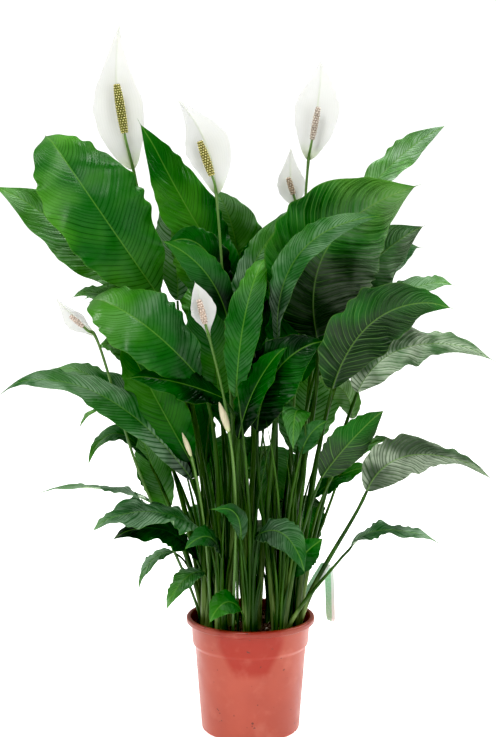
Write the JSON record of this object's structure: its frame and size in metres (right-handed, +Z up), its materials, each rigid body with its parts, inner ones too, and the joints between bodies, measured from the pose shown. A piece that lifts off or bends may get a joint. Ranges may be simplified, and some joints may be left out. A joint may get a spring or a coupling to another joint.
{
  "type": "potted peace lily",
  "caption": "Tall peace lily with broad dark leaves and white spathes, growing in a round tapered nursery pot.",
  "frame": {"origin": "centre of the pot's flat base", "axes": "+Z up along the pot's axis, -Y towards the front of the plant, +X to its right"},
  "size_m": [0.7767, 0.4802, 1.1404],
  "materials": {
    "pot": "satin",
    "soil": "matte",
    "label": "satin",
    "leaf": "satin",
    "scape": "satin",
    "spathe": "matte",
    "spadix": "matte"
  },
  "bodies": {
    "root": {"bud_centre": "spathe", "bud_left": "spathe", "crown_back_left": "leaf", "crown_back_right": "leaf", "crown_far": "leaf", "crown_far_left": "leaf", "crown_far_right": "leaf", "crown_front": "leaf", "crown_front_left": "leaf", "crown_front_right": "leaf", "crown_left": "leaf", "crown_middle_back": "leaf", "crown_middle_front": "leaf", "crown_middle_left": "leaf", "crown_middle_right": "leaf", "crown_right": "leaf", "label": "label", "pot": "pot", "scape_bud_centre": "scape", "scape_bud_left": "scape", "scape_centre_left": "scape", "scape_low_centre": "scape", "scape_low_left": "scape", "scape_small_right": "scape", "scape_tall_left": "scape", "scape_tall_right": "scape", "soil": "soil", "spadix_centre_left": "spadix", "spadix_low_centre": "spadix", "spadix_low_left": "spadix", "spadix_small_right": "spadix", "spadix_tall_left": "spadix", "spadix_tall_right": "spadix", "spathe_centre_left": "spathe", "spathe_low_centre": "spathe", "spathe_low_left": "spathe", "spathe_small_right": "spathe", "spathe_tall_left": "spathe", "spathe_tall_right": "spathe"}
  },
  "joints": []
}
